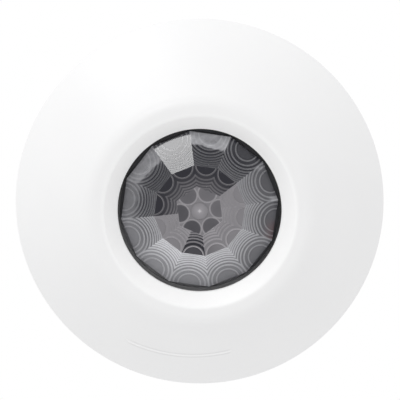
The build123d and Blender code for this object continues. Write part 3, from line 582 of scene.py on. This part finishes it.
# Cover plastic: its white, painted paler in the funnel as painted light, with a painted highlight on the
# moulded line's crown and a painted shadow at both its feet
coverLook = {
    "white": (colour(0.838, 0.838, 0.843), colour(0.86, 0.86, 0.862)),
    # painted light: the funnel's paler white
    "funnel": colour(0.95, 0.95, 0.951),
    "funnelEdge": (26.2, 28.2),          # mm from the Z axis
    # painted highlight along the moulded line's crown
    "crown": colour(0.91, 0.91, 0.912),
    "crownShift": 0.1,                   # mm outwards from the line's own middle
    "crownEdge": (0.15, 0.35),           # mm from the crown's middle
    # painted shadow along the moulded line's feet
    "foot": colour(0.78, 0.78, 0.783),
    "footEdges": (0.2, 0.4, 0.6, 0.85),  # and from none to full, and back to none
    "endFades": (0.03, 0.06),            # radians
    "rough": 0.36,
}


# Very even, with a hardly visible satin grain, and painted light and shade: the funnel paler, a highlight on
# the line's crown and a shadow at its feet. hypot(x, y) tells the funnel and how far a point is from the line,
# and atan2(y, x) tells the line's lean and its ends.
def coverPaint(flow, place):
    look = coverLook
    x, y, _ = axes(flow, place)
    off = flow.math("SQRT", x * x + y * y)
    turn = flow.math("ARCTAN2", y, x)
    lean = (turn - math.radians(coverRing["lineMiddle"])) * coverRing["lineLean"]
    offLine = flow.math("ABSOLUTE", off - lean - coverRing["lineRadius"] - look["crownShift"])
    low, high = [math.radians(degrees) for degrees in coverRing["lineSpan"]]
    fadeIn, fadeOut = look["endFades"]
    span = smooth(flow, turn, low, low + fadeIn) * smooth(flow, turn, high - fadeOut, high, 1.0, 0.0)
    # painted highlight on the line's crown
    crown = smooth(flow, offLine, *look["crownEdge"], 1.0, 0.0) * span
    near, nearFull, farFull, far = look["footEdges"]
    # painted shadow at the line's feet
    foot = smooth(flow, offLine, near, nearFull) * smooth(flow, offLine, farFull, far, 1.0, 0.0) * span
    cloud = noise(flow, place, 0.05, 2.0)
    grain = noise(flow, place, 3.2, 3.0)
    # painted light: the funnel is made paler
    funnel = smooth(flow, off, *look["funnelEdge"], 1.0, 0.0)
    tone = blend(flow, cloud, *look["white"])
    tone = blend(flow, funnel, tone, look["funnel"])
    tone = blend(flow, crown, tone, look["crown"])
    tone = blend(flow, foot, tone, look["foot"])
    rough = look["rough"] + (grain - 0.5) * 0.1 + (cloud - 0.5) * 0.06
    return {"Base Color": tone, "Roughness": rough, "Normal": bump(flow, grain, 0.004)}


# Circuit board: solder mask over copper tracks that run both ways, and plated spots, each with a hole.
def boardPaint(flow, place):
    def tracks(turn, scale):   # the gaps of a brick pattern, turned about Z
        turned = flow.node("ShaderNodeMapping", {}, {"Vector": place, "Rotation": (0, 0, turn)})
        settings = {"offset": 0.37, "squash": 1.6, "squash_frequency": 3}
        return flow.node("ShaderNodeTexBrick", settings, {
            "Vector": turned, "Scale": scale, "Mortar Size": 0.035, "Mortar Smooth": 0.2,
            "Brick Width": 1.9, "Row Height": 0.32}, 1)

    both = flow.math("MAXIMUM", tracks(0.0, 0.42), tracks(math.pi / 2, 0.31))
    spots = smooth(flow, cells(flow, place, 0.34), 0.17, 0.2, 1.0, 0.0)
    holes = smooth(flow, cells(flow, place, 0.34), 0.07, 0.09, 1.0, 0.0)
    weave = noise(flow, place, 3.0, 2.0)
    mask = blend(flow, weave, colour(0.012, 0.085, 0.032), colour(0.02, 0.12, 0.045))
    copper = blend(flow, both, mask, colour(0.045, 0.2, 0.075))
    plated = blend(flow, spots, copper, colour(0.7, 0.66, 0.55))
    tone = blend(flow, holes, plated, colour(0.02, 0.02, 0.02))
    height = both * 0.6 + spots * 0.4 - holes
    rough = 0.32 + weave * 0.12 + spots * 0.08
    return {"Base Color": tone, "Roughness": rough, "Metallic": spots * (1 - holes),
            "Normal": bump(flow, height, 0.03)}


# Black plastic: a cloudy tone and a fine grain. The lens retainer, the only piece of it below -10.95 mm, has
# painted light: it greys towards the back left, with y - x / 2.
def blackPaint(flow, place):
    x, y, z = axes(flow, place)
    cloud = noise(flow, place, 0.09, 3.0)
    grain = noise(flow, place, 5.0, 3.0)
    retainer = smooth(flow, z, -11.0, -10.9, 1.0, 0.0)
    # painted light on the retainer, paler towards the back left
    retainerLight = retainer * smooth(flow, y - x * 0.5, -6.0, 24.0)
    tone = blend(flow, cloud, colour(0.018, 0.018, 0.019), colour(0.03, 0.03, 0.031))
    tone = blend(flow, retainerLight, tone, colour(0.13, 0.13, 0.133))
    return {"Base Color": tone, "Roughness": 0.5 + (grain - 0.5) * 0.12, "Normal": bump(flow, grain, 0.02)}


# Foam: small bubbles of two sizes, with painted shade darkest in their hollow middles, in a dull black skin.
def foamPaint(flow, place):
    bubbles = cells(flow, place, 2.4, "SMOOTH_F1")
    small = cells(flow, place, 6.5)
    height = bubbles * 0.7 + small * 0.3
    # painted shade in the bubbles' hollows
    tone = blend(flow, height, colour(0.012, 0.012, 0.013), colour(0.07, 0.07, 0.072))
    return {"Base Color": tone, "Roughness": 0.82 + height * 0.15, "Normal": bump(flow, height, 0.18)}


# Fired chips: a cloudy body with fine pale specks.
def chipPaint(flow, place):
    specks = noise(flow, place, 9.0, 4.0)
    cloud = noise(flow, place, 1.4, 2.0)
    body = blend(flow, cloud, colour(0.26, 0.17, 0.1), colour(0.44, 0.31, 0.2))
    tone = blend(flow, smooth(flow, specks, 0.58, 0.66), body, colour(0.62, 0.55, 0.45))
    return {"Base Color": tone, "Roughness": 0.3 + specks * 0.3, "Normal": bump(flow, specks, 0.02)}


# Lens: sizes of its facets and ring lines in mm, as in the solid, and how they look, with the painted light,
# shade and reflections on them
lensLook = {
    "turn": 97.2,               # degrees: a corner stands at minus this from +X
    "facetWidth": 30,           # degrees from corner to corner
    "petalWidth": 60,
    "radius": 22.5,
    "middleRadius": 13.0,
    "edgeHeight": -14.1,        # z over which the lens's own side begins
    "hexagonRadius": 7.0,
    "outerSlope": 18.0,         # degrees
    "outerZone": 3.25,          # radius of a facet's first ring
    "middleZone": 3.03,
    "middleShift": 0.68,
    "petalRadius": 2.6,
    "petalShift": -0.5,
    "centreRadius": 2.4,
    "lineHalf": 0.14,
    "lineSoft": 0.14,
    "tint": (1.04, 1.0, 1.035),
    "outerRed": 1.0,            # in place of the tint's red, on the outer ring
    "blueVeil": 0.007,          # added blue
    # directions of the painted light, shade and sheen, and of the indicator's red, in degrees clockwise from
    # the front, as the camera sees it, and the width that each fades over
    "outerShade": (306, 74),
    "outerRight": (68, 28),
    "outerBack": (215, 34),
    "paintedSheen": (332, 62),
    "sheenGap": (338, 20),
    "middleFront": (-22, 82),
    "middleBack": (188, 28),
    "paintedLineLight": (165, 75),
    "slant": (158, 28),
    "edgePale": (195, 80),
    "indicator": (98, 30),
}


# Distance from the Z axis to the side of a facet whose corners are at the radius: radius * cos(width / 2).
def sideAt(radius, width):
    return radius * math.cos(math.radians(width / 2))


# Distance from a point that stands shift outside the middle of a facet's outer side:
# hypot(across, (side - along) / lean + shift). The side is at the distance side from the Z axis, and lean is
# the cosine of the facet's slope.
def ringDistance(flow, along, across, side, lean, shift):
    down = (side - along) / lean + shift
    return flow.math("SQRT", down * down + across * across)


# A bright line where a distance is near the radius: full within lineHalf of it, and gone lineSoft further off.
def ringLine(flow, distance, radius):
    off = flow.math("ABSOLUTE", distance - radius)
    return smooth(flow, off, lensLook["lineHalf"], lensLook["lineHalf"] + lensLook["lineSoft"], 1.0, 0.0)


# Ring n has the radius zone * sqrt(n). Gives the bright line of the nearest ring, the half-moon inside the
# first one, and a painted shadow, a dark band just inside its line.
def ringPattern(flow, distance, zone):
    number = distance * distance * (1 / zone ** 2)
    nearest = flow.math("MAXIMUM", flow.math("ROUND", number), 1.0)
    line = ringLine(flow, distance, flow.math("SQRT", nearest) * zone)
    moon = smooth(flow, distance, zone - 0.1, zone, 1.0, 0.0)
    # painted shadow just inside the line
    rim = smooth(flow, distance, zone - 0.75, zone - 0.15) * moon
    return line, moon, rim


# Sector of the lens that a point lies in: its middle direction m for the point's angle a, which is
# (floor((a + turn) / step) + 1/2) * step - turn, and the point's place along and across it, which is
# (x cos m + y sin m, y cos m - x sin m).
def sector(flow, x, y, width):
    step = math.radians(width)
    turn = math.radians(lensLook["turn"])
    middle = (flow.math("FLOOR", (flow.math("ARCTAN2", y, x) + turn) / step) + 0.5) * step - turn
    c = flow.math("COSINE", middle)
    s = flow.math("SINE", middle)
    return middle, x * c + y * s, y * c - x * s


# Cosine of the angle between a direction and the given one, in degrees clockwise from the front, as the
# camera sees it.
def swing(flow, middle, degrees):
    return flow.math("COSINE", middle - math.radians(degrees - 90))


# How near a direction is to one of lensLook's: 1 there and 0 at its width from it.
def towards(flow, middle, name):
    degrees, width = lensLook[name]
    return smooth(flow, swing(flow, middle, degrees), math.cos(math.radians(width)), 1.0)


# Outer ring, its tones painted reflection and shade. far is a facet's painted tone at the lens's edge, darkest
# at the front right, and near its painted tone at the middle ring, darkest at the front left, paler at the
# right and the back left. A painted sheen of the lamp lies over the outer half of the facets at the front
# left, but for the one between them that mirrors the softbox, and a painted glint on the outer corners of the
# facets at the right.
def outerTone(flow, middle, along, across, mottle):
    look = lensLook
    edge = sideAt(look["radius"], look["facetWidth"])
    waist = sideAt(look["middleRadius"], look["facetWidth"])
    lean = math.cos(math.radians(look["outerSlope"]))
    distance = ringDistance(flow, along, across, edge, lean, 0.0)
    line, moon, rim = ringPattern(flow, distance, look["outerZone"])
    inward = smooth(flow, along, edge - 0.2, waist + 1.6, 0.0, 1.0)
    # painted shade, darker at the front left
    shaded = towards(flow, middle, "outerShade")
    # painted light, paler at the right
    right = towards(flow, middle, "outerRight")
    far = 0.2 - swing(flow, middle, 30) * 0.1 + right * 0.04
    # painted light, paler at the back left
    back = towards(flow, middle, "outerBack")
    near = (0.21 - swing(flow, middle, 8) * 0.18) * (1 - shaded * 0.82)
    near = near + back * 0.09 + right * 0.06
    contrast = (0.14 - swing(flow, middle, 10) * 0.078) * (1 - shaded * 0.45)
    contrast = 0.09 + (contrast - 0.09) * inward
    band = far + (near - far) * inward + (line - 0.42) * 2 * contrast
    inside = 0.125 - swing(flow, middle, 30) * 0.09 - rim * 0.03 + right * 0.03 + back * 0.03
    tone = band + (inside + line * 0.16 - band) * moon
    # painted sheen: the lamp's reflection painted on
    paintedSheen = flow.math("MINIMUM", towards(flow, middle, "paintedSheen") * 3.6, 1.0)
    paintedSheen = paintedSheen * (1 - towards(flow, middle, "sheenGap"))
    border = along + (mottle - 0.5) * 1.4 + across * 0.1
    paintedSheen = paintedSheen * smooth(flow, border, 17.6, 18.3) * (1 - moon * 0.1)
    # the painted sheen's tone
    bright = (0.2 + swing(flow, middle, 20) * 0.14) * (0.45 + mottle * 1.1) + line * 0.1
    tone = tone + (bright - tone) * paintedSheen
    # painted glint on the outer corners of the facets at the right
    corner = smooth(flow, flow.math("ABSOLUTE", across), 3.6, 5.2) * smooth(flow, along, 18.6, 20.6)
    paintedGlint = corner * right * smooth(flow, mottle, 0.45, 0.6)
    return tone + paintedGlint * 0.22


# Middle ring, its tones painted reflection and shade: dark facets with black half-moons at the front and at
# the back, and even grey ones between, painted light on the ring lines, and painted shade across the
# half-moons near the back.
def waistTone(flow, middle, along, across):
    look = lensLook
    waist = sideAt(look["middleRadius"], look["facetWidth"])
    distance = ringDistance(flow, along, across, waist, 1.0, look["middleShift"])
    line, moon, rim = ringPattern(flow, distance, look["middleZone"])
    # painted reflection: black at the front and at the back
    front = flow.math("MINIMUM", towards(flow, middle, "middleFront") * 3.0, 1.0)
    back = towards(flow, middle, "middleBack")
    black = flow.math("MAXIMUM", front, back * 0.8)
    # painted light on the ring lines
    paintedLineLight = 0.035 + towards(flow, middle, "paintedLineLight") * 0.1 + back * 0.1 + front * 0.05
    fall = smooth(flow, along, 6.0, 12.0)
    band = 0.222 - black * (0.158 + fall * 0.035) - back * 0.02 + (line - 0.3) * paintedLineLight
    # painted shade across the half-moons near the back
    slant = towards(flow, middle, "slant") * (across + 3)
    inside = 0.185 - black * 0.183 - rim * 0.02 - slant * 0.012
    outline = line * (0.05 + paintedLineLight * 1.7)
    return band + (inside + outline - band) * moon


# Hexagon: six dark petals, painted paler towards the front right, round a pale disc, with a painted highlight,
# a small glint that is a cross of two fine bars.
def hexagonTone(flow, middle, along, across, x, y):
    look = lensLook
    side = sideAt(look["hexagonRadius"], look["petalWidth"])
    distance = ringDistance(flow, along, across, side, 1.0, look["petalShift"])
    petal = smooth(flow, distance, look["petalRadius"] - 0.1, look["petalRadius"], 1.0, 0.0)
    outline = ringLine(flow, distance, look["petalRadius"])
    off = flow.math("SQRT", x * x + y * y)
    disc = smooth(flow, off, look["centreRadius"] - 0.15, look["centreRadius"] + 0.05, 1.0, 0.0)
    halo = smooth(flow, off, 0.2, look["centreRadius"], 1.0, 0.0)
    armX = smooth(flow, flow.math("ABSOLUTE", x), 0.05, 0.36, 1.0, 0.0)
    armY = smooth(flow, flow.math("ABSOLUTE", y), 0.05, 0.36, 1.0, 0.0)
    # painted highlight: the glint
    paintedGlint = flow.math("MAXIMUM", armX, armY) * smooth(flow, off, 0.15, 0.75, 1.0, 0.0)
    # petals painted paler towards the front right
    inside = 0.078 + swing(flow, middle, 38) * 0.036 + distance * 0.004
    tone = 0.172 + disc * 0.03 + halo * 0.06 + paintedGlint * 0.2
    return tone + (inside - tone) * petal + outline * 0.14


# The lens: its outer ring, middle ring and hexagon, parted where along passes a facet's side, then fine
# marks with painted glints among them, its edge darkened as painted shade with painted light towards the back,
# its tint, and the indicator's red through one facet.
def lensPaint(flow, place):
    look = lensLook
    x, y, z = axes(flow, place)
    middle, along, across = sector(flow, x, y, look["facetWidth"])
    pairMiddle, pairAlong, pairAcross = sector(flow, x, y, look["petalWidth"])
    waist = sideAt(look["middleRadius"], look["facetWidth"])
    hexSide = sideAt(look["hexagonRadius"], look["petalWidth"])
    mottle = noise(flow, place, 0.5, 5.0, 0.62)
    fine = noise(flow, place, 2.6, 3.0, 0.6)
    # painted glints: a few bright specks
    glintDots = smooth(flow, cells(flow, place, 0.75), 0.05, 0.09, 1.0, 0.0)
    specks = glintDots * smooth(flow, fine, 0.56, 0.6)
    tone = waistTone(flow, middle, along, across)
    outer = outerTone(flow, middle, along, across, mottle)
    outside = smooth(flow, along, waist - 0.03, waist + 0.03)
    tone = tone + (outer - tone) * outside
    hexagon = hexagonTone(flow, pairMiddle, pairAlong, pairAcross, x, y)
    tone = tone + (hexagon - tone) * smooth(flow, pairAlong, hexSide - 0.03, hexSide + 0.03, 1.0, 0.0)
    tone = tone * (0.9 + mottle * 0.2) + (fine - 0.5) * 0.012 + specks * 0.3
    # the lens's side: painted shade, dark, with painted light paler towards the back
    edgeSide = smooth(flow, z, look["edgeHeight"] + 0.05, look["edgeHeight"] + 0.2)
    edgeTone = 0.022 + towards(flow, middle, "edgePale") * 0.2
    tone = flow.math("MAXIMUM", tone + (edgeTone - tone) * edgeSide, 0.002)
    red, green, blue = look["tint"]
    red = red + outside * (look["outerRed"] - red)
    parts = {0: tone * red, 1: tone * green, 2: tone * blue + look["blueVeil"]}
    cool = flow.node("ShaderNodeCombineColor", {}, parts)
    glow = towards(flow, middle, "indicator") * smooth(flow, along, 18.2, 21.6)
    glow = glow * smooth(flow, across, -1.0, 2.5)
    tinted = blend(flow, glow * (0.24 - edgeSide * 0.24), cool, colour(0.2, 0.07, 0.07))
    return {"Base Color": tinted, "Roughness": 0.115 + fine * 0.02 + edgeSide * 0.25}


finishes = {
    "white_cover": makeFinish("satinWhite", {"Specular IOR Level": 0.5}, coverPaint),
    "lens": makeFinish("smokedLens", {"Specular IOR Level": 0.46}, lensPaint),
    "black_plastic": makeFinish("mattBlack", {}, blackPaint),
    "white_body": makeFinish("bodyWhite", {}, plastic({
        "tone": (0.79, 0.79, 0.775), "spread": 0.025, "rough": 0.5, "grainDepth": 0.02,
        "grainScale": 4.0})),
    "zinc_screw": makeFinish("brightZinc", {"Metallic": 1.0}, metal({
        "tone": (0.62, 0.62, 0.6), "lines": (3.0, 3.0, 0.8), "rough": 0.34, "lineDepth": 0.01})),
    "circuit_board": makeFinish("boardGreen", {}, boardPaint),
    "nickel_can": makeFinish("nickel", {"Metallic": 1.0}, metal({
        "tone": (0.7, 0.69, 0.66), "lines": (5.0, 5.0, 0.4), "rough": 0.22, "lineDepth": 0.004,
        "specks": 0.12})),
    "infrared_window": makeFinish("sensorWindow", {"Coat Roughness": 0.05}, plastic({
        "tone": (0.02, 0.016, 0.026), "spread": 0.3, "rough": 0.16, "grainDepth": 0.002, "rub": 0.02})),
    "red_led": makeFinish("redEpoxy", {"Transmission Weight": 0.25}, plastic({
        "tone": (0.52, 0.012, 0.01), "spread": 0.2, "rough": 0.16, "grainDepth": 0.002, "rub": 0.03})),
    "light_cell": makeFinish("clearEpoxy", {}, plastic({
        "tone": (0.5, 0.36, 0.18), "spread": 0.3, "rough": 0.2, "grainDepth": 0.003,
        "cloudScale": 0.9})),
    "chip_ceramic": makeFinish("firedChip", {}, chipPaint),
    "trimmer_blue": makeFinish("trimmerBlue", {}, plastic({
        "tone": (0.01, 0.06, 0.32), "spread": 0.15, "rough": 0.42, "grainDepth": 0.012})),
    "knob_grey": makeFinish("knobGrey", {}, plastic({
        "tone": (0.1, 0.105, 0.115), "spread": 0.12, "rough": 0.46, "grainDepth": 0.015})),
    "foam": makeFinish("blackFoam", {}, foamPaint),
    "hinge_steel": makeFinish("drawnWire", {"Metallic": 1.0}, metal({
        "tone": (0.6, 0.6, 0.61), "lines": (4.0, 0.5, 4.0), "rough": 0.3, "lineDepth": 0.006})),
    "clip_steel": makeFinish("springStrip", {"Metallic": 1.0}, metal({
        "tone": (0.56, 0.57, 0.58), "lines": (0.35, 5.0, 2.0), "rough": 0.36, "lineDepth": 0.008})),
    "film_capacitor": makeFinish("filmYellow", {}, plastic({
        "tone": (0.6, 0.34, 0.012), "spread": 0.08, "rough": 0.3, "grainDepth": 0.008})),
    "capacitor_sleeve": makeFinish("sleeveBlack", {}, plastic({
        "tone": (0.008, 0.01, 0.022), "spread": 0.3, "rough": 0.28, "grainDepth": 0.01, "grainScale": 1.2})),
    "varistor_coat": makeFinish("dippedBlue", {}, plastic({
        "tone": (0.012, 0.07, 0.3), "spread": 0.2, "rough": 0.26, "grainDepth": 0.03, "grainScale": 0.9})),
    "choke_ferrite": makeFinish("ferrite", {}, plastic({
        "tone": (0.016, 0.016, 0.017), "spread": 0.3, "rough": 0.4, "grainDepth": 0.02, "grainScale": 7.0})),
    "resistor_coat": makeFinish("lacquerGreen", {}, plastic({
        "tone": (0.05, 0.17, 0.14), "spread": 0.2, "rough": 0.35, "grainDepth": 0.02, "grainScale": 1.6})),
    "tin_pin": makeFinish("tinned", {"Metallic": 1.0}, metal({
        "tone": (0.72, 0.71, 0.68), "lines": (4.0, 4.0, 0.4), "rough": 0.3, "lineDepth": 0.005})),
    "terminal_plastic": makeFinish("terminalGrey", {}, plastic({
        "tone": (0.53, 0.545, 0.545), "spread": 0.04, "rough": 0.42, "grainDepth": 0.015})),
    "brass": makeFinish("brassNickel", {"Metallic": 1.0}, metal({
        "tone": (0.72, 0.53, 0.24), "lines": (1.0, 3.0, 3.0), "rough": 0.3, "lineDepth": 0.008})),
}


# Puts one material in every slot of a piece, or in its first where it has none.
def dress(piece, material):
    if len(piece.data.materials) == 0:
        piece.data.materials.append(material)
    for k in range(len(piece.data.materials)):
        piece.data.materials[k] = material


for row in frame["record"]["subparts"]:
    dress(nodes[row["node"]], finishes[row["material_slot"]])
dress(coverPiece, finishes["white_cover"])
dress(gasketPiece, finishes["foam"])
for piece in springPieces:
    dress(piece, finishes["hinge_steel"])
print("stage: finishes,", len(finishes))


# Studio, in metres: a pale floor under the camera and a white surround, a large soft key lamp from the front
# left, a small softbox that one facet of the lens mirrors, and a high soft lamp that lights the floor. A
# direction runs from the origin to its lamp.
studio = {
    "floorHeight": -0.8,
    "floorSize": 9.0,
    "surround": 1.0,
    "keyDirection": (-0.4535, -0.853, -0.259),
    "keyDistance": 1.3,
    "keySize": (0.9, 0.9),
    "keyRadiance": 1.22,
    "softboxDirection": (-0.2443, -0.4815, -0.8417),
    "softboxDistance": 0.742,
    "softboxSize": (0.11, 0.11),
    "softboxRadiance": 11.5,
    "skyDirection": (0.37, -0.44, 0.81),
    "skyDistance": 1.35,
    "skySize": (0.9, 0.9),
    "skyRadiance": 0.5,
}


# An oblong lamp that faces the origin. Its power is radiance * pi * area.
def makeLamp(look, name):
    size = look[name + "Size"]
    data = bpy.data.lights.new(name, "AREA")
    data.shape = "RECTANGLE"
    data.size, data.size_y = size
    data.energy = look[name + "Radiance"] * math.pi * size[0] * size[1]
    lamp = bpy.data.objects.new(name, data)
    scene.collection.objects.link(lamp)
    direction = Vector(look[name + "Direction"]).normalized()
    lamp.location = direction * look[name + "Distance"]
    lamp.rotation_mode = "QUATERNION"
    lamp.rotation_quaternion = (-direction).to_track_quat("-Z", "Y")


# Pale matt floor with wide, faint clouds.
def floorPaint(flow, place):
    cloud = noise(flow, place, 0.004, 3.0)
    tone = blend(flow, cloud, colour(0.82, 0.82, 0.82), colour(0.855, 0.855, 0.855))
    return {"Base Color": tone, "Roughness": 0.75 + cloud * 0.1}


# A square floor of four corners, the lamps, and a surround of one even white.
def makeStudio(look):
    half = look["floorSize"] / 2
    corners = [(-half, -half), (half, -half), (half, half), (-half, half)]
    mesh = bpy.data.meshes.new("floor")
    mesh.from_pydata([(x, y, look["floorHeight"]) for x, y in corners], [], [(0, 1, 2, 3)])
    floor = bpy.data.objects.new("floor", mesh)
    scene.collection.objects.link(floor)
    dress(floor, makeFinish("paleFloor", {"Specular IOR Level": 0.2}, floorPaint))
    for name in ("key", "softbox", "sky"):
        makeLamp(look, name)
    world = bpy.data.worlds.new("studio")
    scene.world = world
    world.use_nodes = True
    background = world.node_tree.nodes["Background"]
    background.inputs["Color"].default_value = colour(1, 1, 1)
    background.inputs["Strength"].default_value = look["surround"]


makeStudio(studio)
scene.view_settings.view_transform = "Standard"
print("stage: studio")
